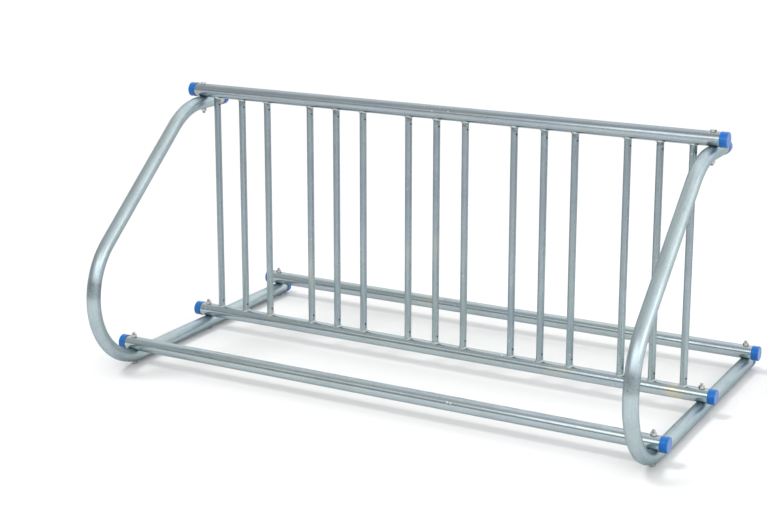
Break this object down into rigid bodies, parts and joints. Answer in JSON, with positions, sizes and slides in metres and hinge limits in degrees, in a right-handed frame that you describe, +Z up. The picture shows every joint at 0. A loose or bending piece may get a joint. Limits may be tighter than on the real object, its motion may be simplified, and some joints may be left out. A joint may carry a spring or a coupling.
{
  "type": "floor bike rack",
  "caption": "Floor rack for bicycles: upright bars in groups between two long rails, on bent tube end frames with base rails.",
  "frame": {"origin": "on the floor, under the middle of the rack's length and depth", "axes": "+X along the rails to the right as seen from the front, +Y from the sloping legs to the rear, +Z up"},
  "size_m": [1.61, 0.9869, 0.7518],
  "materials": {
    "galvanised_steel": "galvanised steel tube, smooth and softly bright",
    "weld_metal": "galvanised weld bead, rippled",
    "zinc_fastener": "zinc-plated hex hardware, satin",
    "blue_cap": "soft vinyl push-on cap, semi-gloss blue"
  },
  "bodies": {
    "root": {"end_frame_left": "galvanised_steel", "end_frame_right": "galvanised_steel", "grid_top_rail": "galvanised_steel", "grid_bottom_rail": "galvanised_steel", "front_rail": "galvanised_steel", "rear_rail": "galvanised_steel", "grid_bar_01": "galvanised_steel", "grid_bar_02": "galvanised_steel", "grid_bar_03": "galvanised_steel", "grid_bar_04": "galvanised_steel", "grid_bar_05": "galvanised_steel", "grid_bar_06": "galvanised_steel", "grid_bar_07": "galvanised_steel", "grid_bar_08": "galvanised_steel", "grid_bar_09": "galvanised_steel", "grid_bar_10": "galvanised_steel", "grid_bar_11": "galvanised_steel", "grid_bar_12": "galvanised_steel", "grid_bar_13": "galvanised_steel", "grid_bar_14": "galvanised_steel", "grid_bar_15": "galvanised_steel", "bottom_weld_beads": "weld_metal", "top_weld_beads": "weld_metal", "grid_top_rail_bolts": "zinc_fastener", "grid_top_rail_nuts": "zinc_fastener", "grid_top_rail_caps": "blue_cap", "grid_bottom_rail_bolts": "zinc_fastener", "grid_bottom_rail_nuts": "zinc_fastener", "grid_bottom_rail_caps": "blue_cap", "front_rail_bolts": "zinc_fastener", "front_rail_nuts": "zinc_fastener", "front_rail_caps": "blue_cap", "rear_rail_bolts": "zinc_fastener", "rear_rail_nuts": "zinc_fastener", "rear_rail_caps": "blue_cap", "foot_caps": "blue_cap", "stub_caps": "blue_cap"}
  },
  "joints": []
}
